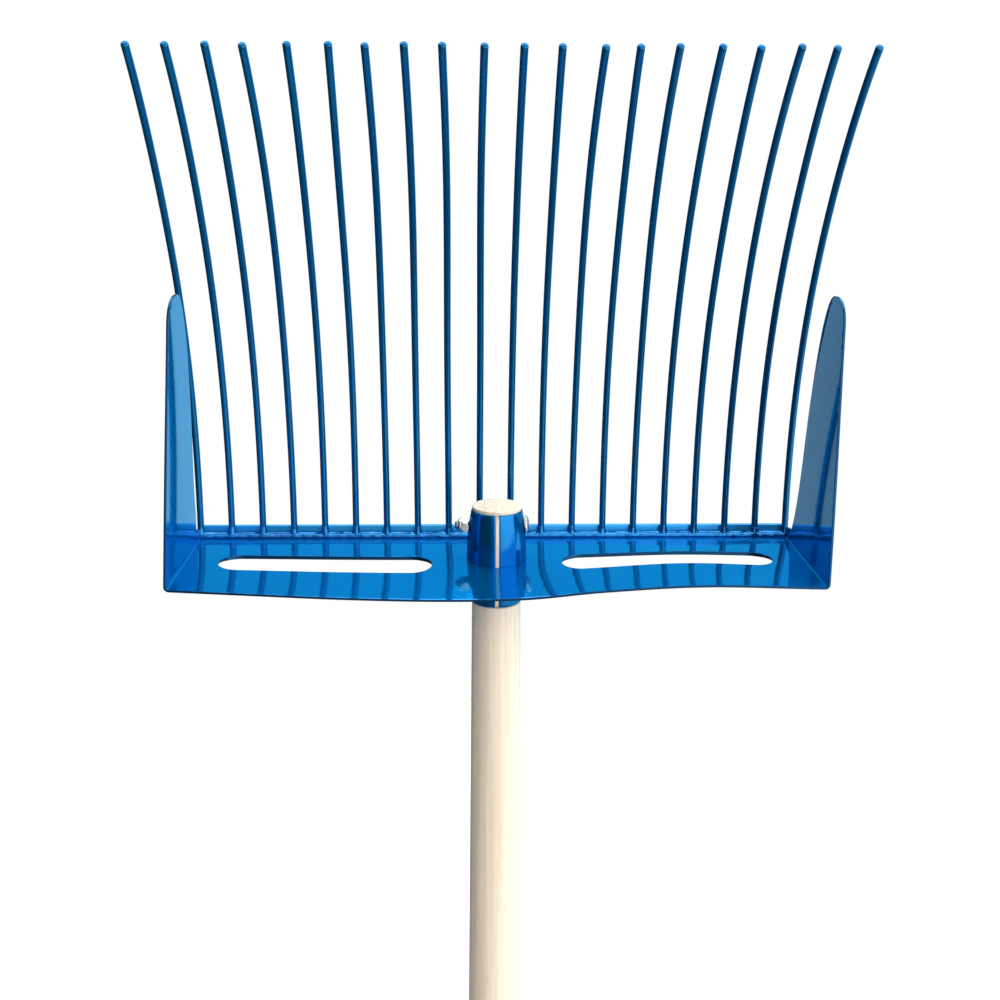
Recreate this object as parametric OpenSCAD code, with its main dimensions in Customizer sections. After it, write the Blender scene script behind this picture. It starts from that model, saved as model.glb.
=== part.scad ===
// Twenty-tine bedding fork: a comb of round steel tines stands on a bar along the heel
// of a folded sheet scoop, and the scoop is welded round a split socket on a wooden handle.
// The origin is on the handle's axis, where the straight shaft begins above its round butt.
// +Z runs up the handle to the head, and the tines curve towards -Y. All sizes are in mm.

/* [Handle] */
// Overall length of the handle, from butt to end grain
handle_l = 1350; // [900:10:1600]
// Diameter of the straight shaft
shaft_d = 35; // [33:0.5:40]
// Height of the rounded butt
butt_h = 12; // [8:1:16]
// Length of the taper from the straight shaft up to the socket
taper_l = 322; // [150:1:500]
// Diameter of the handle where it meets the socket
neck_d = 30.6; // [29.5:0.1:32]
// Height of end grain that stands out of the socket
end_grain_h = 2.6; // [1.6:0.1:6]
// How far the end grain has spread over the socket's rim
grain_spread = 1.3; // [0:0.1:1.5]

/* [Socket] */
// Outer diameter of the socket tube at the scoop
socket_d = 36.8; // [36:0.1:40]
// Outer diameter at both pressed-in ends
socket_end_d = 31.4; // [30:0.1:33]
// Wall thickness of the socket tube
socket_t = 1.6; // [1.2:0.1:2.2]
// Height of the socket above the shelf
socket_up = 30; // [26:1:40]
// Depth of the socket below the shelf
socket_down = 29.3; // [26:0.1:40]
// Half the length that keeps its full diameter
socket_flat = 8; // [4:1:9]
// Width of the slit down the front of the tube
slit_w = 2.5; // [1:0.1:4]

/* [Scoop] */
// Inner width between the two wings
scoop_w = 381; // [381:1:390]
// Depth of the shelf in front of the handle's axis
shelf_front = 62; // [56:1:80]
// Thickness of the sheet steel
sheet_t = 1.5; // [1:0.1:2]
// Inner radius of the folds between shelf and wings
fold_r = 1.5; // [0.5:0.1:2]
// Overall length of each slot
slot_l = 130; // [80:1:135]
// Width of each slot
slot_w = 26; // [12:1:30]
// Distance of each slot's centre from the handle's axis
slot_x = 105; // [100:0.5:108]
// Distance of the slots in front of the handle's axis
slot_front = 10.8; // [9:0.1:30]

/* [Tines] */
// Number of tines
tine_n = 20; // [4:2:20]
// Spacing from tine to tine
tine_pitch = 20; // [16:0.5:20]
// Diameter of the tine rod
tine_d = 4.2; // [3.5:0.1:4.4]
// Radius of the tine's curve
tine_bend_r = 357; // [300:1:450]
// Angle by which the foot of a tine leans back
foot_angle = 5.4; // [4:0.1:6]
// Angle by which the tip of a tine leans forward
tip_angle = 47; // [30:1:55]
// Distance of the tines' feet behind the handle's axis
tine_back = 38.6; // [38.6:0.1:45]

/* [Heel bar and welds] */
// Thickness of the heel bar
bar_t = 3; // [2:0.5:5]
// Height of the heel bar above the shelf
bar_up = 6.8; // [5:0.1:8]
// Width of the weld bead on the shelf
bead_w = 6.6; // [6:0.1:8]
// Height of the weld bead on the heel bar
bead_h = 4.4; // [2:0.1:5]
// Width of the weld round the socket, under the shelf
ring_w = 3.6; // [2:0.1:6]

/* [Bolt and nut] */
// Diameter of the carriage bolt's shank
bolt_d = 6; // [5:0.5:6]
// Height of the bolt above the shelf
bolt_up = 19.4; // [16:0.1:21]
// Diameter of the bolt's domed head
head_d = 12.6; // [12:0.1:15]
// Height of the bolt's domed head
head_h = 2.8; // [2:0.1:4]
// Side of the square neck under the head
neck_w = 6.3; // [6.1:0.1:6.6]
// Width across the flats of the nut
nut_af = 10; // [9:0.5:11]
// Height of the nut's six-sided part
nut_h = 4.4; // [4:0.1:5]
// Height of the round collar that holds the nylon ring
collar_h = 1.8; // [1.5:0.1:2.5]

/* [Hidden] */
$fn = 96;
eps = 0.01;

// Clearances between pieces
wood_gap = 0.1;
hole_gap = 0.2;
weld_gap = 0.05;

// Heights along the handle
shelf_z = handle_l - butt_h - socket_up - end_grain_h;
socket_low_z = shelf_z - socket_down;
straight_l = socket_low_z - wood_gap - taper_l;
end_grain_z = shelf_z + socket_up + end_grain_h;
bolt_z = shelf_z + bolt_up;

// Socket profile: full diameter at the shelf, pressed in towards both ends
press_steps = 6;
press_power = 1.5;
socket_mid_r = socket_d / 2;
socket_end_r = socket_end_d / 2;
socket_zs = concat(
    [for (i = [press_steps:-1:0]) -socket_flat - (socket_down - socket_flat) * i / press_steps],
    [for (i = [0:press_steps]) socket_flat + (socket_up - socket_flat) * i / press_steps]
);
function press(z) = (abs(z) - socket_flat) / ((z > 0 ? socket_up : socket_down) - socket_flat);
function socket_r(z) = socket_mid_r - (socket_mid_r - socket_end_r) * pow(max(0, press(z)), press_power);
seat_x = socket_r(bolt_up);

// Scoop: heel line, wings and slots
half_w = scoop_w / 2 + sheet_t;
bar_y = tine_back + tine_d / 2 + 0.8;
ear_y = tine_back - tine_d / 2 - 0.3;
ear_h = 6.5;
curve_steps = 9;
wing_h = 165;
front_edge = [[-shelf_front, 0], [-55, 50], [-42, 108], [-35, 146]];
top_edge = [[-35, 146], [-33, 160], [-22, 163.5], [-9, 162]];
back_edge = [[-9, 162], [7, 157], [14, 112], [16.5, 70]];
heel_edge = [[16.5, 70], [17.5, 50], [18, 25], [26, 8]];
function bezier(p, t) = pow(1 - t, 3) * p[0] + 3 * t * pow(1 - t, 2) * p[1]
    + 3 * t * t * (1 - t) * p[2] + pow(t, 3) * p[3];
wing_edge = [
    for (curve = [front_edge, top_edge, back_edge, heel_edge])
        for (i = [1:curve_steps]) bezier(curve, i / curve_steps)
];

// Tine curve: the arc's centre lies in front of the feet
tine_r = tine_d / 2;
foot_lift = 0.3;
bend_y = tine_back - tine_bend_r * cos(foot_angle);
bend_z = shelf_z + foot_lift + tine_bend_r * sin(foot_angle);
function tine_x(i) = tine_pitch * (i - (tine_n + 1) / 2);
function tine_name(i) = str("tine_", i < 10 ? "0" : "", i);

// A cylinder along X from x0 to x1, at the bolt's height
module bolt_bar(x0, x1, r) {
    translate([x0, 0, bolt_z])
        rotate([0, 90, 0])
            cylinder(h = x1 - x0, r = r);
}

// Square pocket for the bolt's neck, sunk from the outside at +X
module neck_pocket() {
    depth = 5;
    translate([seat_x - depth, -neck_w / 2 - hole_gap, bolt_z - neck_w / 2 - hole_gap])
        cube([2 * depth, neck_w + 2 * hole_gap, neck_w + 2 * hole_gap]);
}

// Wooden handle: round butt, straight shaft, long taper and the tenon in the socket
module handle() {
    shaft_r = shaft_d / 2;
    butt_ball = (shaft_r * shaft_r + butt_h * butt_h) / (2 * butt_h);
    tenon = [for (z = socket_zs) [socket_r(z) - socket_t - wood_gap, shelf_z + z]];
    top_r = socket_r(socket_up) - socket_t - wood_gap;
    grain_r = top_r + grain_spread;
    grain_edge = 0.8;
    rim_z = shelf_z + socket_up + wood_gap;
    shoulder_z = socket_low_z - wood_gap;
    color("burlywood")
        difference() {
            union() {
                intersection() {
                    translate([0, 0, -butt_h])
                        cylinder(h = butt_h, r = shaft_r);
                    translate([0, 0, butt_ball - butt_h])
                        sphere(r = butt_ball);
                }
                rotate_extrude()
                    polygon(concat(
                        [[0, 0], [shaft_r, 0], [shaft_r, straight_l], [neck_d / 2, shoulder_z]],
                        [[tenon[0][0], shoulder_z]],
                        tenon,
                        [[top_r, rim_z], [grain_r, rim_z], [grain_r, end_grain_z - grain_edge]],
                        [[grain_r - grain_edge, end_grain_z], [0, end_grain_z]]
                    ));
            }
            bolt_bar(-socket_d, socket_d, bolt_d / 2 + hole_gap);
            neck_pocket();
        }
}

// Split tube that grips the tenon, pressed in at both ends
module socket_sleeve() {
    outside = [for (z = socket_zs) [socket_r(z), z]];
    inside = [for (i = [len(socket_zs) - 1:-1:0]) [socket_r(socket_zs[i]) - socket_t, socket_zs[i]]];
    color("royalblue")
        difference() {
            translate([0, 0, shelf_z])
                rotate_extrude()
                    polygon(concat(outside, inside));
            translate([-slit_w / 2, -socket_d, socket_low_z - eps])
                cube([slit_w, socket_d, socket_up + socket_down + 2 * eps]);
            bolt_bar(-socket_d, 0, bolt_d / 2 + hole_gap);
            neck_pocket();
        }
}

// Section of a tray with rounded lower corners, open upwards
module tray_section(half, floor_z, corner_r) {
    translate([-half, floor_z + corner_r])
        square([2 * half, wing_h]);
    translate([-half + corner_r, floor_z])
        square([2 * (half - corner_r), corner_r + eps]);
    for (side = [-1, 1])
        translate([side * (half - corner_r), floor_z + corner_r])
            circle(r = corner_r);
}

// One slot through the shelf, centred on the plane x = 0
module slot() {
    reach = (slot_l - slot_w) / 2;
    translate([-reach, -slot_w / 2, -5])
        cube([2 * reach, slot_w, 10]);
    for (side = [-1, 1])
        translate([side * reach, 0, -5])
            cylinder(h = 10, r = slot_w / 2);
}

// Shelf and both wings, folded from one sheet
module scoop_shell() {
    side_view = concat(
        [[-shelf_front, -sheet_t], [-shelf_front, 0]],
        wing_edge,
        [[ear_y, ear_h], [ear_y, 0], [bar_y, 0], [bar_y, -sheet_t]]
    );
    color("dodgerblue")
        translate([0, 0, shelf_z])
            difference() {
                intersection() {
                    translate([0, bar_y, 0])
                        rotate([90, 0, 0])
                            linear_extrude(bar_y + shelf_front)
                                difference() {
                                    tray_section(half_w, -sheet_t, fold_r + sheet_t);
                                    tray_section(scoop_w / 2, 0, fold_r);
                                }
                    translate([-scoop_w, 0, 0])
                        rotate([90, 0, 90])
                            linear_extrude(2 * scoop_w)
                                polygon(side_view);
                }
                translate([0, 0, -5])
                    cylinder(h = 10, r = socket_mid_r + weld_gap);
                for (side = [-1, 1])
                    translate([side * slot_x, -slot_front, 0])
                        slot();
            }
}

// Flat bar along the heel that carries the tines
module heel_bar() {
    color("mediumblue")
        translate([-half_w, bar_y, shelf_z - sheet_t])
            cube([2 * half_w, bar_t, sheet_t + bar_up]);
}

// Weld bead in the corner between shelf and heel bar, notched by the tines' feet
module heel_weld() {
    reach = scoop_w / 2 - fold_r;
    color("deepskyblue")
        difference() {
            translate([-reach, 0, shelf_z])
                rotate([90, 0, 90])
                    linear_extrude(2 * reach)
                        polygon([[bar_y, 0], [bar_y - bead_w, 0], [bar_y, bead_h]]);
            for (i = [1:tine_n])
                translate([tine_x(i), tine_back, shelf_z])
                    rotate([-foot_angle, 0, 0])
                        translate([0, 0, -bead_h])
                            cylinder(h = 4 * bead_h, r = tine_r + weld_gap);
        }
}

// Weld round the socket under the shelf, open at the slit
module socket_weld() {
    inner_r = socket_mid_r + weld_gap;
    color("deepskyblue")
        difference() {
            translate([0, 0, shelf_z - sheet_t])
                rotate_extrude()
                    polygon([[inner_r, 0], [inner_r + ring_w, 0], [inner_r, -ring_w]]);
            translate([-slit_w / 2, -socket_d, shelf_z - 2 * ring_w - sheet_t])
                cube([slit_w, socket_d, 2 * ring_w + sheet_t]);
        }
}

// Carriage bolt through socket and tenon, with its domed head at +X
module carriage_bolt() {
    neck_l = 3;
    root = 0.5;
    chamfer = 0.8;
    dome_steps = 6;
    tail_x = -seat_x - nut_h - collar_h - 2.4;
    dome = [
        for (i = [0:dome_steps])
            let (a = 90 * i / dome_steps) [head_d / 2 * cos(a), seat_x + head_h * sin(a)]
    ];
    color("silver")
        translate([0, 0, bolt_z]) {
            rotate([0, 90, 0])
                rotate_extrude()
                    polygon(concat(
                        [[0, tail_x], [bolt_d / 2 - chamfer, tail_x], [bolt_d / 2, tail_x + chamfer]],
                        [[bolt_d / 2, seat_x]],
                        dome
                    ));
            translate([seat_x - neck_l, -neck_w / 2, -neck_w / 2])
                cube([neck_l + root, neck_w, neck_w]);
        }
}

// Six-sided nut with a round collar over its nylon ring
module lock_nut() {
    face_x = -seat_x - 0.1;
    collar_r = nut_af / 2 - 0.3;
    color("lightgray")
        difference() {
            union() {
                translate([face_x, 0, bolt_z])
                    rotate([0, -90, 0])
                        cylinder(h = nut_h, d = nut_af / cos(30), $fn = 6);
                bolt_bar(face_x - nut_h - collar_h, face_x - nut_h + eps, collar_r);
            }
            bolt_bar(-2 * socket_d, socket_d, bolt_d / 2 + 0.05);
            bolt_bar(face_x - nut_h - collar_h + 0.4, face_x - nut_h + 0.2, collar_r - 0.5);
        }
}

// Nylon ring inside the nut's collar
module nut_insert() {
    face_x = -seat_x - 0.1;
    ring_r = nut_af / 2 - 0.85;
    color("white")
        difference() {
            bolt_bar(face_x - nut_h - collar_h + 0.45, face_x - nut_h + 0.15, ring_r);
            bolt_bar(-2 * socket_d, socket_d, bolt_d / 2 + 0.05);
        }
}

// One tine: a round rod bent on a constant radius
module tine(i) {
    color("steelblue")
        translate([tine_x(i), bend_y, bend_z])
            rotate([90, 0, 90])
                rotate([0, 0, -foot_angle])
                    rotate_extrude(angle = foot_angle + tip_angle)
                        translate([tine_bend_r, 0])
                            circle(r = tine_r, $fn = 32);
}

handle();
socket_sleeve();
scoop_shell();
heel_bar();
heel_weld();
socket_weld();
carriage_bolt();
lock_nut();
nut_insert();
for (i = [1:tine_n])
    tine(i);
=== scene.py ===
"""Looks of a twenty-tine hay and bedding fork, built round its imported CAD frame.

Lengths are in metres in the frame's own axes: +Z runs up the handle, the tines curve towards -Y.
"""
import math
import random

import bmesh
import bpy
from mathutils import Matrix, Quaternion, Vector, noise


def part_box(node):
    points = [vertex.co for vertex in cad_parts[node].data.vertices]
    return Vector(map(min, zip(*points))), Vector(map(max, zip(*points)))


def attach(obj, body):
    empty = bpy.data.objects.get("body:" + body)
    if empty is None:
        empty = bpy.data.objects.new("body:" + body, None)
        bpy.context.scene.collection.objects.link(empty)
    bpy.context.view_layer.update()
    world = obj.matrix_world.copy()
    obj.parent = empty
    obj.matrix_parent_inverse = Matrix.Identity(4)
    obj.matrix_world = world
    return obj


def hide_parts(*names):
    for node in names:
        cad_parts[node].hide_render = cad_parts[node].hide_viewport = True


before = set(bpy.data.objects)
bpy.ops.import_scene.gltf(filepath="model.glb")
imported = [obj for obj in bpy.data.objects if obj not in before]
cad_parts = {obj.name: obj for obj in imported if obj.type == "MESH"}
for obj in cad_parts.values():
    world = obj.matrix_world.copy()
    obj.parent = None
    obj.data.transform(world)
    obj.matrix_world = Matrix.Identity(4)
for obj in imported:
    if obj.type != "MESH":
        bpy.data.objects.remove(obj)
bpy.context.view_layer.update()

MM = 0.001
AXIS_X = Vector((1, 0, 0))
AXIS_Z = Vector((0, 0, 1))

# Sheet scoop
SHEET_T = 1.5 * MM
FOLD_R = 1.5 * MM
EDGE_R = 0.25 * MM
shell_lo, shell_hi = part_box("scoop_shell")
SHELF_Z = shell_lo.z + SHEET_T
INNER_HALF = shell_hi.x - SHEET_T
FRONT_Y = shell_lo.y
BAR_LO, BAR_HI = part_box("heel_bar")
HEEL_Y = BAR_LO.y
SLOT_X, SLOT_Y = 105 * MM, -10.8 * MM
SLOT_L, SLOT_W = 130 * MM, 26 * MM
SLOT_REACH = (SLOT_L - SLOT_W) / 2
EAR_Y, EAR_H = 36.2 * MM, 6.5 * MM
# The slots' back edges are drawn down a little under the shelf
SLOT_LIP = 0.9 * MM
# The shelf's front edge is bowed: places along X and how far each sags, in mm
FRONT_SAG = [
    (-191, 0.5), (-140, -2.2), (-90, -4.7), (-30, -6.3), (15, -5.5), (60, -1.2), (120, 1.7), (191, 0.3),
]
# A shallow bulge in the right half of the shelf
BULGE, BULGE_X, BULGE_R = 1.8 * MM, 112 * MM, 45 * MM
# Both wings lean towards +X as they rise, and the left one's back edge is pressed in
WING_LEAN = math.tan(math.radians(1.9))
TOE_IN = 1.0 * MM
# Outline of a wing as four Bezier curves of (depth, height) in mm
WING_CURVES = [
    [(-62, 0), (-55, 50), (-42, 108), (-35, 146)],
    [(-35, 146), (-33, 160), (-22, 163.5), (-9, 162)],
    [(-9, 162), (7, 157), (14, 112), (16.5, 70)],
    [(16.5, 70), (17.5, 50), (18, 25), (26, 8)],
]

# Tines
TINE_R, BEND_R = 2.1 * MM, 357 * MM
FOOT_ANGLE, TIP_ANGLE = math.radians(-5.4), math.radians(47)
TINES = sorted(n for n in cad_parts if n.startswith("tine_"))

# Socket
SLEEVE_LO, SLEEVE_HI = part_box("socket_sleeve")
SLEEVE_MID_R = SLEEVE_HI.x
SLEEVE_END_R, SLEEVE_FLAT = 15.7 * MM, 8 * MM
SLEEVE_T, SLIT_W = 1.6 * MM, 2.5 * MM

# Handle
HANDLE_LO, HANDLE_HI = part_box("handle")
SHAFT_R = HANDLE_HI.x
BUTT_H, STRAIGHT_L, NECK_R = 12 * MM, 954 * MM, 15.3 * MM
GRAIN_SPREAD = 1.3 * MM

# Bolt and nut
BOLT_LO, BOLT_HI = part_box("carriage_bolt")
NUT_LO, NUT_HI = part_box("lock_nut")
BOLT_Z = (NUT_LO.z + NUT_HI.z) / 2
BOLT_R, HEAD_H = 3 * MM, 2.8 * MM


# ---------------------------------------------------------------- mesh helpers
def mesh_object(name, verts, faces):
    """A new object at the origin, with its place in its vertices."""
    mesh = bpy.data.meshes.new(name)
    mesh.from_pydata([tuple(v) for v in verts], [], faces)
    mesh.validate()
    obj = bpy.data.objects.new(name, mesh)
    bpy.context.scene.collection.objects.link(obj)
    return obj


def bake_modifiers(obj):
    """Turns the object's modifiers into its mesh."""
    evaluated = obj.evaluated_get(bpy.context.evaluated_depsgraph_get())
    mesh = bpy.data.meshes.new_from_object(evaluated)
    obj.modifiers.clear()
    old = obj.data
    obj.data = mesh
    if old.users == 0 and isinstance(old, bpy.types.Mesh):
        bpy.data.meshes.remove(old)


def recalculate_normals(obj):
    bm = bmesh.new()
    bm.from_mesh(obj.data)
    bmesh.ops.recalc_face_normals(bm, faces=bm.faces)
    bm.to_mesh(obj.data)
    bm.free()


def dress(obj, material, slot, *nodes, sharp=40):
    """Gives a piece its finish and lets it ride in place of the CAD nodes it stands for."""
    obj.data.materials.clear()
    obj.data.materials.append(material)
    obj.data.shade_smooth()
    obj.data.set_sharp_from_angle(angle=math.radians(sharp))
    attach(obj, "root")
    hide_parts(*nodes)
    return obj


def bezier(p, t):
    """Point at t on a cubic Bezier curve of four points in the plane."""
    weights = ((1 - t) ** 3, 3 * t * (1 - t) ** 2, 3 * t * t * (1 - t), t**3)
    return tuple(sum(w * q[k] for w, q in zip(weights, p)) for k in (0, 1))


def smooth_table(table, x):
    """Value at x of a smooth curve through a short table of (place, value)."""
    x = min(max(x, table[0][0]), table[-1][0])
    last = len(table) - 1
    i = next(k for k in range(last) if x <= table[k + 1][0])

    def slope(k):
        (x0, y0), (x1, y1) = table[max(k - 1, 0)], table[min(k + 1, last)]
        return (y1 - y0) / (x1 - x0)

    (x0, y0), (x1, y1) = table[i], table[i + 1]
    width = x1 - x0
    t = (x - x0) / width
    ends = y0 * (1 + 2 * t) * (1 - t) ** 2 + y1 * t * t * (3 - 2 * t)
    return ends + width * (slope(i) * t * (1 - t) ** 2 - slope(i + 1) * t * t * (1 - t))


def tube(path, radii, sides, reference):
    """Vertices and faces of a closed round tube; reference is never along the path."""
    verts, faces = [], []
    last = len(path) - 1
    for i, (point, radius) in enumerate(zip(path, radii)):
        along = (path[min(i + 1, last)] - path[max(i - 1, 0)]).normalized()
        a = (reference - reference.dot(along) * along).normalized()
        b = along.cross(a)
        for k in range(sides):
            turn = 2 * math.pi * k / sides
            verts.append(point + radius * (math.cos(turn) * a + math.sin(turn) * b))
    for i in range(last):
        for k in range(sides):
            k2 = (k + 1) % sides
            faces.append((i * sides + k, i * sides + k2, (i + 1) * sides + k2, (i + 1) * sides + k))
    faces.append(tuple(reversed(range(sides))))
    faces.append(tuple(last * sides + k for k in range(sides)))
    return verts, faces


def lathe(name, profile, segments=96, place=None):
    """A solid of revolution about Z from (radius, height) points; both ends lie on the axis."""
    place = place or (lambda v: v)
    verts, faces = [place(Vector((0, 0, profile[0][1])))], []
    for r, z in profile[1:-1]:
        for k in range(segments):
            turn = 2 * math.pi * k / segments
            verts.append(place(Vector((r * math.cos(turn), r * math.sin(turn), z))))
    verts.append(place(Vector((0, 0, profile[-1][1]))))
    rings = len(profile) - 2
    for k in range(segments):
        k2 = (k + 1) % segments
        faces.append((0, 1 + k2, 1 + k))
        for i in range(rings - 1):
            low, high = 1 + i * segments, 1 + (i + 1) * segments
            faces.append((low + k, low + k2, high + k2, high + k))
        top = 1 + (rings - 1) * segments
        faces.append((top + k, top + k2, len(verts) - 1))
    obj = mesh_object(name, verts, faces)
    recalculate_normals(obj)
    return obj


def round_corner(r, z, size, start, end, steps=4):
    """Points of an arc round the centre (r, z), from start to end degrees."""
    angles = [math.radians(start + (end - start) * i / steps) for i in range(steps + 1)]
    return [(r + size * math.cos(a), z + size * math.sin(a)) for a in angles]


# ---------------------------------------------------------------- materials
class Finish:
    """A material on a Principled shader, with short calls to add nodes."""

    def __init__(self, name, **uniform):
        self.material = bpy.data.materials.new(name)
        self.material.use_nodes = True
        self.tree = self.material.node_tree
        self.shader = self.tree.nodes["Principled BSDF"]
        self.place = self.node("ShaderNodeTexCoord").outputs["Object"]
        for key, value in uniform.items():
            self.shader.inputs[key.replace("_", " ")].default_value = value

    def put(self, socket, value):
        if isinstance(value, bpy.types.NodeSocket):
            self.tree.links.new(value, socket)
        else:
            socket.default_value = value

    def node(self, kind, inputs=None, **settings):
        made = self.tree.nodes.new(kind)
        for key, value in settings.items():
            setattr(made, key, value)
        for key, value in (inputs or {}).items():
            self.put(made.inputs[key], value)
        return made

    def stretched(self, x, y, z):
        """Object coordinates, scaled along each axis."""
        mapping = self.node("ShaderNodeMapping", {"Vector": self.place, "Scale": (x, y, z)})
        return mapping.outputs["Vector"]

    def noise(self, scale, detail=2, rough=0.5, place=None, distortion=0):
        inputs = {"Vector": place or self.place, "Scale": scale, "Detail": detail, "Roughness": rough}
        inputs["Distortion"] = distortion
        return self.node("ShaderNodeTexNoise", inputs).outputs["Fac"]

    def ramp(self, value, *stops):
        """A colour ramp; each stop is (position, grey) or (position, (r, g, b))."""
        made = self.node("ShaderNodeValToRGB", {"Fac": value})
        elements = made.color_ramp.elements
        while len(elements) < len(stops):
            elements.new(0.5)
        for element, (position, colour) in zip(elements, stops):
            element.position = position
            rgb = colour if isinstance(colour, tuple) else (colour,) * 3
            element.color = (*rgb, 1)
        return made.outputs["Color"]

    def math(self, operation, a, b=0.0):
        made = self.node("ShaderNodeMath", operation=operation)
        self.put(made.inputs[0], a)
        self.put(made.inputs[1], b)
        return made.outputs[0]

    def mix(self, fac, a, b, blend="MIX"):
        made = self.node("ShaderNodeMix", data_type="RGBA", blend_type=blend)
        self.put(made.inputs[0], fac)
        for socket, value in ((made.inputs[6], a), (made.inputs[7], b)):
            self.put(socket, (*value, 1) if isinstance(value, tuple) else value)
        return made.outputs[2]

    def colour(self, value):
        self.put(self.shader.inputs["Base Color"], value)

    def roughness(self, value):
        self.put(self.shader.inputs["Roughness"], value)

    def bump(self, height, strength, distance):
        """Adds a layer of relief over the relief that is there."""
        made = self.node("ShaderNodeBump", {"Height": height, "Strength": strength, "Distance": distance})
        links = self.shader.inputs["Normal"].links
        if links:
            self.tree.links.new(links[0].from_socket, made.inputs["Normal"])
        self.tree.links.new(made.outputs["Normal"], self.shader.inputs["Normal"])


def powder_coat(name, colour, deep, metallic=0.78, coat=0.5, peel=0.2, rough=0.06):
    """Glossy blue coat over steel: orange peel, fine specks and slow changes of depth."""
    f = Finish(name, Metallic=metallic, Coat_Weight=coat, Coat_Roughness=0.02, Coat_IOR=1.45)
    f.shader.inputs["Specular Tint"].default_value = (0.35, 0.75, 1.0, 1)
    f.shader.inputs["Specular IOR Level"].default_value = 0.0
    mottle = f.noise(9, detail=3)
    specks = f.ramp(f.noise(1300, detail=1), (0.70, 0.0), (0.78, 1.0))
    base = f.mix(f.ramp(mottle, (0.35, 0.0), (0.7, 1.0)), colour, deep)
    f.colour(f.mix(f.math("MULTIPLY", specks, 0.25), base, tuple(c * 0.5 for c in deep)))
    f.roughness(f.ramp(f.noise(60, detail=4), (0.3, rough * 0.8), (0.75, rough * 1.35)))
    f.bump(f.noise(420, detail=2), peel, 0.2 * MM)
    f.bump(f.noise(40, detail=2), peel * 0.75, 0.6 * MM)
    return f.material


def pale_wood():
    """Planed pale hardwood: growth rings that run out along the handle, fibres and pores."""
    f = Finish("pale_wood", IOR=1.46)
    slow = f.noise(30, detail=2, place=f.stretched(1, 1, 0.05))
    split = f.node("ShaderNodeSeparateXYZ", {"Vector": f.place}).outputs
    across = f.math("ADD", f.math("MULTIPLY", split["X"], 0.55), f.math("MULTIPLY", split["Y"], 0.83))
    bend = f.math("ADD", across, f.math("MULTIPLY", slow, 0.012))
    rings = f.math("SINE", f.math("MULTIPLY", bend, 2 * math.pi / (3.4 * MM)))
    ring_tone = f.ramp(f.math("MULTIPLY_ADD", rings, 0.5), (0.0, 0.0), (0.55, 0.25), (1.0, 1.0))
    streaks = f.noise(330, detail=5, rough=0.65, place=f.stretched(1, 1, 0.018))
    fibres = f.noise(1500, detail=3, place=f.stretched(1, 1, 0.03))
    pores = f.ramp(f.noise(2100, detail=1, place=f.stretched(1, 1, 0.045)), (0.66, 0.0), (0.72, 1.0))
    tone = f.mix(f.ramp(streaks, (0.3, 0.0), (0.72, 1.0)), (0.88, 0.745, 0.61), (0.73, 0.57, 0.435))
    tone = f.mix(f.math("MULTIPLY", ring_tone, 0.22), tone, (0.62, 0.46, 0.33))
    tone = f.mix(f.math("MULTIPLY", fibres, 0.2), tone, (0.90, 0.80, 0.68))
    f.colour(f.mix(f.math("MULTIPLY", pores, 0.35), tone, (0.42, 0.30, 0.19)))
    f.roughness(f.ramp(streaks, (0.3, 0.46), (0.75, 0.60)))
    f.bump(fibres, 0.12, 0.2 * MM)
    f.bump(pores, -0.15, 0.2 * MM)
    return f.material


def sawn_end():
    """Sawn end grain: cream, torn and specked, and darker and browner towards -X, partly its own brown lip
    and partly painted shade.
    """
    f = Finish("sawn_end_grain", IOR=1.46)
    torn = f.noise(420, detail=5, rough=0.75)
    specks = f.ramp(f.noise(650, detail=3, rough=0.7), (0.46, 0.0), (0.66, 0.7))
    split = f.node("ShaderNodeSeparateXYZ", {"Vector": f.place}).outputs
    # Darker and browner towards -X: partly the end's own brown lip, partly painted shade of the side away
    # from the light
    stain_and_shade = f.ramp(f.math("MULTIPLY_ADD", split["X"], -60.0), (0.0, 0.1), (1.0, 1.0))
    tone = f.mix(f.ramp(torn, (0.35, 0.0), (0.65, 1.0)), (0.84, 0.78, 0.66), (0.66, 0.55, 0.41))
    f.colour(f.mix(f.mix(stain_and_shade, (0, 0, 0), specks), tone, (0.50, 0.35, 0.23)))
    f.roughness(f.ramp(torn, (0.3, 0.55), (0.75, 0.8)))
    f.bump(torn, 0.35, 0.4 * MM)
    return f.material


def zinc(name):
    """Bright zinc plate with a faint yellow-blue cast and fine scratches."""
    f = Finish(name, Metallic=1.0)
    cloud = f.noise(260, detail=3)
    f.colour(f.ramp(cloud, (0.3, (0.44, 0.44, 0.43)), (0.7, (0.66, 0.65, 0.61))))
    f.roughness(f.ramp(f.noise(900, detail=2), (0.3, 0.20), (0.7, 0.36)))
    f.bump(f.noise(2400, detail=1), 0.08, 0.05 * MM)
    return f.material


def nylon():
    """Milky nylon of the nut's ring."""
    f = Finish("nylon", Subsurface_Weight=0.2, Subsurface_Scale=0.5 * MM)
    f.colour(f.ramp(f.noise(500), (0.3, (0.78, 0.80, 0.82)), (0.7, (0.88, 0.89, 0.90))))
    f.roughness(f.ramp(f.noise(900), (0.3, 0.40), (0.7, 0.52)))
    f.bump(f.noise(1500), 0.05, 0.1 * MM)
    return f.material


def floor_paint():
    """Matt pale paint, clear from below so that the floor never hides the underside."""
    f = Finish("pale_floor")
    below = f.node("ShaderNodeNewGeometry").outputs["Backfacing"]
    f.put(f.shader.inputs["Alpha"], f.math("SUBTRACT", 1.0, below))
    f.colour(f.ramp(f.noise(3, detail=4), (0.3, 0.93), (0.7, 0.95)))
    f.roughness(f.ramp(f.noise(5), (0.3, 0.65), (0.7, 0.75)))
    return f.material


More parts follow.
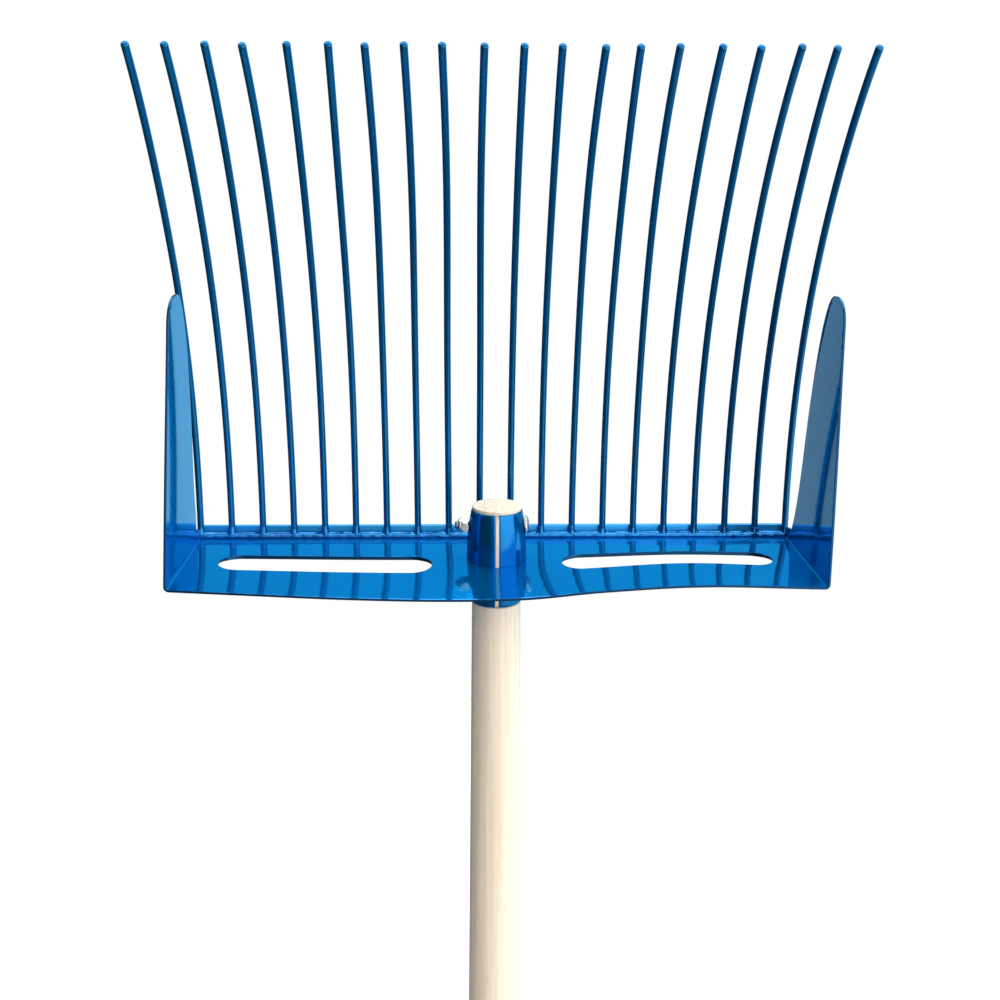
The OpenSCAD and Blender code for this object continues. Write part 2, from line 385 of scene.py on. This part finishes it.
# ---------------------------------------------------------------- sheet scoop
def fold(u, v, w):
    """Where a point of the flat blank lies once the wings are folded up.

    u runs across from the middle, v is the depth, and w is the height over the inner face.
    """
    side = -1 if u < 0 else 1
    u = abs(u)
    flat = INNER_HALF - FOLD_R
    arc = FOLD_R * math.pi / 2
    if u <= flat:
        x, z = u, w
    elif u <= flat + arc:
        turn = (u - flat) / FOLD_R
        x = flat + (FOLD_R - w) * math.sin(turn)
        z = FOLD_R - (FOLD_R - w) * math.cos(turn)
    else:
        x, z = INNER_HALF - w, FOLD_R + u - flat - arc
    return Vector((side * x, v, z))


def ease(start, end, x):
    """Rises smoothly from 0 at start to 1 at end."""
    t = min(max((x - start) / (end - start), 0), 1)
    return t * t * (3 - 2 * t)


def shelf_rise(x, y):
    """How far the bowed shelf lies over its flat place; the socket holds it up."""
    depth = min(max((HEEL_Y - y) / (HEEL_Y - FRONT_Y), 0), 1)
    held = 1 - 0.4 * math.exp(-(x * x + y * y) / (38 * MM) ** 2)
    sag = smooth_table(FRONT_SAG, x / MM) * MM * depth**1.4 * held
    return sag + BULGE * math.exp(-((x - BULGE_X) ** 2 + 2 * (y - SLOT_Y + 10 * MM) ** 2) / BULGE_R**2)


def warp(p):
    """Bows the shelf, leans both wings and presses in the left wing's back edge."""
    rise = shelf_rise(p.x, p.y) * ease(40 * MM, 0, p.z)
    pressed = TOE_IN * (p.y - FRONT_Y) / (16 * MM - FRONT_Y) * ease(0, 25 * MM, p.z) if p.x < 0 else 0
    return Vector((p.x + WING_LEAN * max(p.z, 0) + pressed, p.y, p.z + rise))


def blank_outline():
    """The flat blank's edge, anticlockwise, as (u, v)."""
    rise = INNER_HALF - 2 * FOLD_R + FOLD_R * math.pi / 2
    half = []
    for curve in WING_CURVES:
        for i in range(1, 13):
            depth, height = bezier(curve, i / 12)
            half.append((rise + height * MM, depth * MM))
    corner = INNER_HALF - FOLD_R
    half = [(rise + FOLD_R, FRONT_Y)] + half
    half += [(rise + EAR_H, EAR_Y), (corner, EAR_Y), (corner, HEEL_Y - 0.1 * MM)]
    return half + [(-u, v) for u, v in reversed(half)]


def ring_of_points(u, v, radius, start, end, steps):
    angles = [math.radians(start + (end - start) * i / steps) for i in range(steps + 1)]
    return [(u + radius * math.cos(a), v + radius * math.sin(a)) for a in angles]


def blank_holes():
    """The two slots and the hole for the socket, as lists of (u, v)."""
    holes = [ring_of_points(0, 0, SLEEVE_MID_R + 0.05 * MM, 0, 360 - 5, 71)]
    for side in (-1, 1):
        middle = side * SLOT_X
        ends = ring_of_points(middle + SLOT_REACH, SLOT_Y, SLOT_W / 2, -90, 90, 20)
        ends += ring_of_points(middle - SLOT_REACH, SLOT_Y, SLOT_W / 2, 90, 270, 20)
        holes.append(ends)
    return holes


def flat_blank():
    """The blank as a filled sheet with small round edges."""
    curve = bpy.data.curves.new("blank", "CURVE")
    curve.dimensions = "2D"
    curve.fill_mode = "BOTH"
    curve.extrude = SHEET_T / 2 - EDGE_R
    curve.bevel_depth = EDGE_R
    curve.bevel_resolution = 1
    curve.offset = -EDGE_R
    for points in [blank_outline(), *blank_holes()]:
        spline = curve.splines.new("POLY")
        spline.points.add(len(points) - 1)
        for point, (u, v) in zip(spline.points, points):
            point.co = (u, v, 0, 1)
        spline.use_cyclic_u = True
    holder = bpy.data.objects.new("blank", curve)
    bpy.context.scene.collection.objects.link(holder)
    evaluated = holder.evaluated_get(bpy.context.evaluated_depsgraph_get())
    mesh = bpy.data.meshes.new_from_object(evaluated)
    bpy.data.objects.remove(holder)
    return mesh


def cut_lines():
    """Places across and along the blank where the flat sheet is divided so that it can bend."""
    flat = INNER_HALF - FOLD_R
    arc = FOLD_R * math.pi / 2
    across = [i * 6 * MM for i in range(32)]
    across += [flat + arc * i / 5 for i in range(6)]
    across += [flat + arc + i * 7 * MM for i in range(1, 24)]
    deep = [FRONT_Y + i * 6 * MM for i in range(1, 18)]
    return [s * u for u in across for s in (-1, 1)], deep


def draw_down_slots(bm):
    """Lowers the lower rim of each slot's back edge while the blank is still flat."""
    rim = 0.4 * MM
    for v in bm.verts:
        past_end = max(abs(abs(v.co.x) - SLOT_X) - SLOT_REACH, 0)
        if v.co.z < 0 and math.hypot(past_end, v.co.y - SLOT_Y) < SLOT_W / 2 + rim:
            v.co.z -= SLOT_LIP * ease(0, SLOT_W / 2, v.co.y - SLOT_Y)


def scoop_shell(material, edge_material_painted_shade):
    """Shelf and wings folded from one blank, with the bow and lean of the real sheet."""
    mesh = flat_blank()
    bm = bmesh.new()
    bm.from_mesh(mesh)
    bmesh.ops.remove_doubles(bm, verts=bm.verts, dist=0.01 * MM)
    across, deep = cut_lines()
    cuts = [((u, 0, 0), (1, 0, 0)) for u in across] + [((0, v, 0), (0, 1, 0)) for v in deep]
    for point, normal in cuts:
        everything = bm.verts[:] + bm.edges[:] + bm.faces[:]
        bmesh.ops.bisect_plane(bm, geom=everything, plane_co=point, plane_no=normal, dist=0.001 * MM)
    bm.faces.index_update()
    draw_down_slots(bm)
    bm.normal_update()
    cut_faces = [f.index for f in bm.faces if abs(f.normal.z) < 0.95]
    for v in bm.verts:
        p = warp(fold(v.co.x, v.co.y, v.co.z - SHEET_T / 2))
        v.co = p + Vector((0, 0, SHELF_Z))
    bmesh.ops.recalc_face_normals(bm, faces=bm.faces)
    bm.to_mesh(mesh)
    bm.free()
    obj = bpy.data.objects.new("folded_scoop", mesh)
    bpy.context.scene.collection.objects.link(obj)
    dress(obj, material, "blue_sheet", "scoop_shell", sharp=60)
    # The cut faces take the near-black blue: painted shade along the rims
    obj.data.materials.append(edge_material_painted_shade)
    for i in cut_faces:
        obj.data.polygons[i].material_index = 1
    weighted = obj.modifiers.new("weighted", "WEIGHTED_NORMAL")
    weighted.keep_sharp = True
    weighted.weight = 100
    return obj


# ---------------------------------------------------------------- tines, bar and welds
def tine_path(node, shorter, drift, wobble):
    """Points and radii of one bent rod, with a softly rounded tip."""
    lo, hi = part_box(node)
    x = (lo.x + hi.x) / 2
    centre_y = hi.y - BEND_R - TINE_R
    centre_z = hi.z - (BEND_R + TINE_R) * math.sin(TIP_ANGLE)
    length = BEND_R * (TIP_ANGLE - FOOT_ANGLE) - shorter
    tip_fillet = 0.8 * MM
    stations = [(length - tip_fillet) * i / 60 for i in range(61)]
    radii = [TINE_R] * len(stations)
    for i in range(1, 5):
        turn = math.radians(90 * i / 4)
        stations.append(length - tip_fillet * (1 - math.sin(turn)))
        radii.append(TINE_R - tip_fillet * (1 - math.cos(turn)))
    path = []
    for s in stations:
        angle = FOOT_ANGLE + s / BEND_R
        share = s / length
        side = drift * share**2 + wobble * math.sin(2.2 * math.pi * share) * share
        y, z = centre_y + BEND_R * math.cos(angle), centre_z + BEND_R * math.sin(angle)
        path.append(Vector((x + side, y, z)))
    return path, radii


def tines(material):
    """Twenty rods, each a little off: they get longer towards +X and stray by random amounts."""
    rng = random.Random(11)
    most_short, step, most_drift, most_wobble = 1.2, 0.12, 1.3, 0.9
    for i, node in enumerate(TINES):
        shorter = (rng.uniform(0, most_short) + most_short - step * i) * MM
        drift = rng.uniform(-most_drift, most_drift) * MM
        wobble = rng.uniform(-most_wobble, most_wobble) * MM
        path, radii = tine_path(node, shorter, drift, wobble)
        obj = mesh_object(node + "_rod", *tube(path, radii, 28, AXIS_X))
        dress(obj, material, "blue_tine", node)


def heel_bar(material):
    """Flat bar with rolled edges."""
    lo, hi = BAR_LO, BAR_HI
    bm = bmesh.new()
    bmesh.ops.create_cube(bm, size=1)
    for v in bm.verts:
        v.co = Vector((lo[k] + (hi[k] - lo[k]) * (v.co[k] + 0.5) for k in range(3)))
    mesh = bpy.data.meshes.new("rolled_heel_bar")
    bm.to_mesh(mesh)
    bm.free()
    obj = bpy.data.objects.new("rolled_heel_bar", mesh)
    bpy.context.scene.collection.objects.link(obj)
    bevel = obj.modifiers.new("edges", "BEVEL")
    bevel.width = 0.6 * MM
    bevel.segments = 3
    bake_modifiers(obj)
    dress(obj, material, "blue_sheet", "heel_bar")


def rough_bead(verts, size, seed):
    """Pushes vertices about as a run of weld does: ripples and lumps."""
    out = []
    for v in verts:
        lump = noise.noise(v / (5.5 * MM) + Vector((seed, 0, 0)))
        ripple = noise.noise(v / (1.7 * MM) + Vector((0, seed, 0)))
        push = Vector((0, -0.7, 0.7)) * (lump * 0.7 + ripple * 0.3) * size
        out.append(v + push)
    return out


def join_and_remesh(name, parts, voxel, smooth):
    """One fused skin round several overlapping lumps."""
    verts, faces = [], []
    for part_verts, part_faces in parts:
        base = len(verts)
        verts += part_verts
        faces += [tuple(base + i for i in face) for face in part_faces]
    obj = mesh_object(name, verts, faces)
    remesh = obj.modifiers.new("fuse", "REMESH")
    remesh.mode = "VOXEL"
    remesh.voxel_size = voxel
    relax = obj.modifiers.new("relax", "SMOOTH")
    relax.iterations = smooth
    bake_modifiers(obj)
    return obj


def heel_weld(material):
    """The bead along the heel: a rope of weld in front of the feet and a lump round each foot."""
    parts = []
    left, right = -INNER_HALF + 0.6 * MM, INNER_HALF - 0.6 * MM
    steps = 380
    rope_y, rope_up, rope_r = HEEL_Y - 4.9 * MM, 1.1 * MM, 1.45 * MM
    rng = random.Random(5)
    path, radii, back, back_r, under, under_r = [], [], [], [], [], []
    for i in range(steps + 1):
        x = left + (right - left) * i / steps
        swell = noise.noise(Vector((x / (7 * MM), 3.1, 0)))
        beat = math.sin(x / (1.15 * MM)) * 0.07 * MM
        path.append(Vector((x, rope_y + 0.35 * MM * swell, SHELF_Z + rope_up + 0.3 * MM * swell)))
        radii.append(rope_r + 0.3 * MM * swell + beat)
        back.append(Vector((x, HEEL_Y - 1.4 * MM, SHELF_Z + 0.3 * MM)))
        back_r.append(2.9 * MM + 0.4 * MM * noise.noise(Vector((x / (6 * MM), 9.7, 0))))
        under.append(Vector((x, rope_y + 1.2 * MM, SHELF_Z + 0.5 * MM)))
        under_r.append(2.1 * MM + 0.3 * MM * noise.noise(Vector((x / (9 * MM), 4.2, 0))))
    parts.append(tube(path, radii, 14, AXIS_Z))
    parts.append(tube(back, back_r, 14, AXIS_Z))
    parts.append(tube(under, under_r, 14, AXIS_Z))
    for node in TINES:
        foot, _ = tine_path(node, 0, 0, 0)
        lean = (foot[3] - foot[0]).normalized()
        start = foot[0] - lean * 0.2 * MM
        height = (6.4 + rng.uniform(-0.8, 1.2)) * MM
        grow = (0.95 + rng.uniform(-0.2, 0.35)) * MM
        collar = [start + lean * height * k / 5 for k in range(6)]
        sizes = [TINE_R + grow * (1 - k / 5) ** 1.3 + 0.03 * MM for k in range(6)]
        parts.append(tube(collar, sizes, 16, AXIS_X))
    parts = [(rough_bead(verts, 0.45 * MM, 2.0), faces) for verts, faces in parts]
    obj = join_and_remesh("heel_weld_bead", parts, 0.42 * MM, 2)
    dress(obj, material, "blue_weld", "heel_weld", sharp=80)


def socket_weld(material):
    """Uneven ring of weld under the shelf, with a gap at the slit."""
    gap = 0.16
    path, radii = [], []
    for i in range(91):
        turn = -math.pi / 2 + gap + (2 * math.pi - 2 * gap) * i / 90
        swell = noise.noise(Vector((math.cos(turn) * 3, math.sin(turn) * 3, 5)))
        ring_r = SLEEVE_MID_R + 0.9 * MM + 0.3 * MM * swell
        x, y = ring_r * math.cos(turn), ring_r * math.sin(turn)
        path.append(Vector((x, y, SHELF_Z - SHEET_T - 0.9 * MM + shelf_rise(x, y))))
        radii.append(1.9 * MM + 0.35 * MM * swell + 0.1 * MM * math.sin(turn * 46))
    verts, faces = tube(path, radii, 16, AXIS_Z)
    obj = mesh_object("socket_weld_bead", verts, faces)
    dress(obj, material, "blue_weld", "socket_weld", sharp=80)


# ---------------------------------------------------------------- socket, handle and fastener
def sleeve_radius(z):
    """Outer radius of the socket at a height over the shelf: pressed in towards both ends."""
    reach = (SLEEVE_HI.z if z > 0 else 2 * SHELF_Z - SLEEVE_LO.z) - SHELF_Z
    press = max(0, (abs(z) - SLEEVE_FLAT) / (reach - SLEEVE_FLAT))
    return SLEEVE_MID_R - (SLEEVE_MID_R - SLEEVE_END_R) * press**1.5


def socket_sleeve(material):
    """The split tube, with rolled rims and square slit edges."""
    low, high = SLEEVE_LO.z - SHELF_Z, SLEEVE_HI.z - SHELF_Z
    rim, levels = SLEEVE_T / 2, 48
    heights = [low + rim + (high - low - 2 * rim) * i / levels for i in range(levels + 1)]
    outer = [(sleeve_radius(z), z) for z in heights]
    inner = [(sleeve_radius(z) - SLEEVE_T, z) for z in reversed(heights)]
    top = round_corner(sleeve_radius(high) - rim, high - rim, rim, 0, 180, 8)[1:-1]
    bottom = round_corner(sleeve_radius(low) - rim, low + rim, rim, 180, 360, 8)[1:-1]
    loop = outer + top + inner + bottom
    steps = 120
    verts, faces = [], []
    for r, z in loop:
        gap = math.asin(SLIT_W / 2 / r)
        for k in range(steps + 1):
            turn = -math.pi / 2 + gap + (2 * math.pi - 2 * gap) * k / steps
            verts.append(Vector((r * math.cos(turn), r * math.sin(turn), SHELF_Z + z)))
    row = steps + 1
    count = len(loop)
    for i in range(count):
        j = (i + 1) % count
        for k in range(steps):
            faces.append((i * row + k, i * row + k + 1, j * row + k + 1, j * row + k))
    for k in (0, steps):
        inner_low = len(outer) + len(top) + levels
        for a in range(0, levels, 2):
            b = a + 2
            far_a, far_b = inner_low - a, inner_low - b
            faces.append((a * row + k, (a + 1) * row + k, b * row + k,
                          far_b * row + k, (far_b + 1) * row + k, far_a * row + k))
        faces.append(tuple(i * row + k for i in range(levels, len(outer) + len(top) + 1)))
        bottom_loop = [*range(inner_low, count), 0]
        faces.append(tuple(i * row + k for i in bottom_loop))
    obj = mesh_object("split_socket", verts, faces)
    recalculate_normals(obj)
    bevel = obj.modifiers.new("slit_edges", "BEVEL")
    bevel.width = 0.25 * MM
    bevel.segments = 2
    bevel.angle_limit = math.radians(60)
    bake_modifiers(obj)
    dress(obj, material, "blue_socket", "socket_sleeve", sharp=50)


def handle(material, end_material):
    """Round butt, straight shaft, long taper, and end grain standing out of the socket."""
    ball = (SHAFT_R**2 + BUTT_H**2) / (2 * BUTT_H)
    edge = math.asin(SHAFT_R / ball)
    turns = [edge * i / 14 for i in range(15)]
    butt = [(ball * math.sin(a), -BUTT_H + ball - ball * math.cos(a)) for a in turns]
    shoulder = SLEEVE_LO.z - 0.1 * MM
    taper = [(SHAFT_R + (NECK_R - SHAFT_R) * i / 12, STRAIGHT_L + (shoulder - STRAIGHT_L) * i / 12)
             for i in range(13)]
    shoulder_r = 0.8 * MM
    neck = round_corner(NECK_R - shoulder_r, shoulder - shoulder_r, shoulder_r, 0, 90)
    low, high = SLEEVE_LO.z - SHELF_Z, SLEEVE_HI.z - SHELF_Z
    tenon = [(sleeve_radius(z) - SLEEVE_T - 0.1 * MM, SHELF_Z + z)
             for z in (low + (high - low) * i / 16 for i in range(17))]
    soft, tuck = 0.9 * MM, 0.3 * MM
    top_r = tenon[-1][0] + GRAIN_SPREAD
    rim_z = SLEEVE_HI.z + 0.1 * MM
    under = [(tenon[-1][0], rim_z)] + round_corner(top_r - tuck, rim_z + tuck, tuck, -90, 0, 3)
    top = under + round_corner(top_r - soft, HANDLE_HI.z - soft, soft, 0, 90, 5)
    end_grain = [((top_r - soft) * (1 - i / 10), HANDLE_HI.z) for i in range(1, 11)]
    profile = butt + [(SHAFT_R, STRAIGHT_L * i / 20) for i in range(1, 20)] + taper[:-1]
    profile += neck + tenon + top + end_grain

    squeeze = 1.25 * MM

    def lived_in(v):
        """Faint hollows of planing along the shaft, a sawn end, and wood squeezed into the slit."""
        if v.z > HANDLE_HI.z - 0.2 * MM:
            sawn = 0.12 * MM * noise.noise(Vector((v.x / (2.2 * MM), v.y / (9 * MM), 1)))
            return v - AXIS_Z * (0.1 * MM + abs(sawn))
        around = Vector((v.x, v.y, 0))
        in_slit = SLEEVE_LO.z + 1 * MM < v.z < SLEEVE_HI.z and v.y < 0 and abs(v.x) < 1.1 * MM
        if in_slit and around.length > 5 * MM:
            return v + around.normalized() * squeeze
        hollow = 0.1 * MM * noise.noise(Vector((v.x * 90, v.y * 90, v.z * 6)))
        return v - around.normalized() * abs(hollow) if around.length > 1 * MM else v

    obj = lathe("turned_handle", profile, 112, lived_in)
    dress(obj, material, "ash_wood", "handle", sharp=50)
    obj.data.materials.append(end_material)
    for face in obj.data.polygons:
        if face.center.z > SLEEVE_HI.z:
            face.material_index = 1


def on_bolt(v):
    """Turns an upright part so that its axis lies along X at the bolt's height."""
    return Vector((v.z, v.y, BOLT_Z - v.x))


def carriage_bolt(material):
    """Domed head at +X and a threaded end that stands out of the nut at -X."""
    head_r = (BOLT_HI.z - BOLT_LO.z) / 2
    tail, seat, crown = BOLT_LO.x, BOLT_HI.x - HEAD_H, BOLT_HI.x
    pitch = 1.0 * MM
    thread = []
    for i in range(12):
        root = tail + 0.9 * MM + i * pitch
        thread += [(BOLT_R - 0.35 * MM, root), (BOLT_R, root + 0.4 * pitch), (BOLT_R, root + 0.55 * pitch)]
    end = [(0, tail), (BOLT_R * 0.4, tail), (BOLT_R - 0.9 * MM, tail + 0.12 * MM)]
    lip = 0.35 * MM
    dome = [(head_r * math.cos(a), seat + lip + (HEAD_H - lip) * math.sin(a))
            for a in (math.radians(90 * i / 12) for i in range(12))]
    profile = end + thread + [(BOLT_R, seat), (head_r - 0.2 * MM, seat), (head_r, seat + 0.15 * MM)]
    obj = lathe("domed_bolt", profile + dome + [(0, crown)], 64, on_bolt)
    dress(obj, material, "zinc_steel", "carriage_bolt", sharp=35)


def lock_nut(material):
    """Chamfered hexagon with a rolled collar round the nylon ring."""
    seat, far = NUT_HI.x, NUT_LO.x
    flats = (NUT_HI.y - NUT_LO.y) / 2
    hex_h = 4.4 * MM
    sides = 72
    verts, faces = [], []
    corner_r = flats / math.cos(math.radians(30))
    bore = BOLT_R + 0.05 * MM
    collar_r, roll = flats - 0.3 * MM, 0.9 * MM
    rows = []

    def hexagon(turn):
        """Distance from the axis to a regular hexagon's edge."""
        local = (turn + math.radians(30)) % math.radians(60) - math.radians(30)
        return flats / math.cos(local)

    def row(x, limit):
        ring = []
        for k in range(sides):
            turn = 2 * math.pi * k / sides
            r = min(hexagon(turn), limit)
            ring.append(Vector((x, r * math.cos(turn), BOLT_Z + r * math.sin(turn))))
        rows.append(ring)

    row(seat, bore)
    row(seat, flats - 0.15 * MM)
    for share in (0.0, 0.5, 1.0):
        row(seat - 0.55 * MM * share, flats + (corner_r - flats) * share)
    for share in (1.0, 0.5, 0.0):
        row(seat - hex_h + 0.75 * MM * share, flats + (corner_r - flats) * share)
    row(seat - hex_h, collar_r)
    collar = far + roll
    row(collar, collar_r)
    for i in range(1, 6):
        a = math.radians(90 * i / 5)
        row(collar - roll * math.sin(a), collar_r - roll * (1 - math.cos(a)))
    row(far + 0.05 * MM, collar_r - 1.25 * MM)
    row(far + 0.5 * MM, collar_r - 1.3 * MM)
    row(far + 0.5 * MM, bore)
    for ring in rows:
        verts += ring
    for i in range(len(rows)):
        j = (i + 1) % len(rows)
        for k in range(sides):
            k2 = (k + 1) % sides
            faces.append((i * sides + k, i * sides + k2, j * sides + k2, j * sides + k))
    obj = mesh_object("collared_nut", verts, faces)
    recalculate_normals(obj)
    dress(obj, material, "zinc_steel", "lock_nut", sharp=28)


def nut_insert(material):
    """The nylon ring just inside the nut's rolled collar."""
    lo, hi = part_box("nut_insert")
    outer = NUT_LO.x + 0.62 * MM
    bore, rim = BOLT_R + 0.05 * MM, 3.35 * MM
    ring = [(bore, hi.x), (rim, hi.x), (rim, outer + 0.2 * MM), (rim - 0.2 * MM, outer), (bore, outer)]
    verts, faces = [], []
    sides = 48
    for r, x in ring:
        for k in range(sides):
            turn = 2 * math.pi * k / sides
            verts.append(Vector((x, r * math.cos(turn), BOLT_Z + r * math.sin(turn))))
    for i in range(len(ring)):
        j = (i + 1) % len(ring)
        for k in range(sides):
            k2 = (k + 1) % sides
            faces.append((i * sides + k, i * sides + k2, j * sides + k2, j * sides + k))
    obj = mesh_object("nylon_ring", verts, faces)
    recalculate_normals(obj)
    dress(obj, material, "nylon", "nut_insert", sharp=30)


# ---------------------------------------------------------------- setting
def camera():
    """A camera in front of the scoop, a little above it, looking down along the shelf."""
    yaw, pitch, roll = 0.0325, 0.2792, -0.0069
    data = bpy.data.cameras.new("camera")
    data.lens, data.sensor_width = 45.4, 36
    data.clip_start = 0.01
    obj = bpy.data.objects.new("camera", data)
    obj.location = (-0.0223, -0.7446, SHELF_Z + 0.2493)
    forward = Vector((math.sin(yaw) * math.cos(pitch), math.cos(yaw) * math.cos(pitch), -math.sin(pitch)))
    obj.rotation_mode = "QUATERNION"
    obj.rotation_quaternion = Quaternion(forward, roll) @ forward.to_track_quat("-Z", "Y")
    bpy.context.scene.collection.objects.link(obj)
    bpy.context.scene.camera = obj


def area_light(name, place, target, size, power):
    data = bpy.data.lights.new(name, "AREA")
    data.shape = "RECTANGLE"
    data.size, data.size_y = size
    data.energy = power
    obj = bpy.data.objects.new(name, data)
    obj.location = place
    aim = Vector(target) - Vector(place)
    obj.rotation_mode = "QUATERNION"
    obj.rotation_quaternion = aim.to_track_quat("-Z", "Y")
    bpy.context.scene.collection.objects.link(obj)


def studio():
    """White to the camera; for all other rays brighter on the right, with a glow at front right."""
    world = bpy.data.worlds.new("studio")
    bpy.context.scene.world = world
    world.use_nodes = True
    tree = world.node_tree
    background = tree.nodes["Background"]

    def node(kind, inputs, **settings):
        made = tree.nodes.new(kind)
        for key, value in settings.items():
            setattr(made, key, value)
        for key, value in inputs.items():
            if isinstance(value, bpy.types.NodeSocket):
                tree.links.new(value, made.inputs[key])
            else:
                made.inputs[key].default_value = value
        return made

    def ramp(value, start, end, low, high):
        inputs = {"Value": value, "From Min": start, "From Max": end, "To Min": low, "To Max": high}
        return node("ShaderNodeMapRange", inputs, interpolation_type="SMOOTHSTEP").outputs["Result"]

    def maths(operation, a, b):
        return node("ShaderNodeMath", {0: a, 1: b}, operation=operation).outputs[0]

    way = node("ShaderNodeTexCoord", {}).outputs["Generated"]
    split = node("ShaderNodeSeparateXYZ", {0: way}).outputs
    window = Vector((0.75, -0.60, 0.28)).normalized()
    facing = node("ShaderNodeVectorMath", {0: way, 1: window}, operation="DOT_PRODUCT").outputs["Value"]
    side = ramp(split["X"], -0.52, -0.12, 0.02, 0.85)
    behind = ramp(split["Y"], -0.4, 0.2, 0.0, 1.0)
    above = ramp(split["Z"], -0.12, 0.15, 0.22, 0.8)
    depth = node("ShaderNodeMix", {0: behind, 2: above, 3: 1.0}).outputs[0]
    glow = ramp(facing, 0.30, 0.95, 0.0, 2.0)
    sky = maths("MULTIPLY", ramp(split["Z"], 0.0, 0.15, 0.0, 1.0), ramp(split["Y"], 0.3, 0.8, 0.0, 1.0))
    warm = ramp(split["X"], -0.15, 0.1, 0.0, 1.0)
    seen = node("ShaderNodeLightPath", {}).outputs["Is Camera Ray"]
    power = maths("ADD", maths("MULTIPLY", side, depth), glow)
    power = node("ShaderNodeMix", {0: seen, 2: power, 3: 1.0}).outputs[0]

    def blend(fac, a, b):
        return node("ShaderNodeMix", {0: fac, 6: a, 7: b}, data_type="RGBA").outputs[2]

    back = blend(warm, (1, 0.88, 0.76, 1), (0.62, 0.95, 1.0, 1))
    tint = blend(behind, (1, 0.98, 0.95, 1), blend(sky, back, (0.06, 0.74, 1.0, 1)))
    tree.links.new(blend(seen, tint, (1, 1, 1, 1)), background.inputs["Color"])
    tree.links.new(power, background.inputs["Strength"])
    area_light("floor_light", (0, 1.2, SHELF_Z + 1.6), (0, 1.2, 0), (2.6, 2.6), 60)
    bpy.context.scene.view_settings.view_transform = "Standard"


def pale_floor():
    """A round floor at the butt, left out of reflections."""
    radius, steps = 2.6, 96
    turns = [2 * math.pi * k / steps for k in range(steps)]
    rim = [(radius * math.cos(a), radius * math.sin(a), HANDLE_LO.z) for a in turns]
    floor = mesh_object("floor", rim, [tuple(range(steps))])
    floor.data.materials.append(floor_paint())
    floor.visible_glossy = False


camera()
studio()
pale_floor()
sheet_blue = powder_coat("blue_sheet", (0.0, 0.235, 0.60), (0.0, 0.20, 0.53))
# The cut edges get a near-black blue though they carry the same coat: painted shade, so that the rims read
# as dark lines
edge_blue_painted_shade = powder_coat("blue_cut_edge_painted_shade", (0.0, 0.055, 0.16), (0.0, 0.04, 0.12), coat=0.3, rough=0.25)
# The bar's blue is lighter than the sheet's though it is the same coat: painted light for the brighter
# reflection on its front face
bar_blue_painted_light = powder_coat("blue_bar_painted_light", (0.03, 0.34, 0.68), (0.02, 0.28, 0.58), metallic=0.5, rough=0.25)
socket_blue = powder_coat("blue_socket", (0.0, 0.165, 0.46), (0.0, 0.14, 0.41), coat=0.3, rough=0.17)
tine_blue = powder_coat(
    "blue_tine", (0.0, 0.115, 0.29), (0.0, 0.09, 0.245), metallic=0.65, coat=0.3, rough=0.12
)
weld_blue = powder_coat("blue_weld", (0.0, 0.15, 0.40), (0.0, 0.10, 0.30), peel=0.2)
zinc_plate = zinc("zinc_plate")
scoop_shell(sheet_blue, edge_blue_painted_shade)
heel_bar(bar_blue_painted_light)
tines(tine_blue)
heel_weld(weld_blue)
socket_weld(weld_blue)
socket_sleeve(socket_blue)
handle(pale_wood(), sawn_end())
carriage_bolt(zinc_plate)
lock_nut(zinc_plate)
nut_insert(nylon())
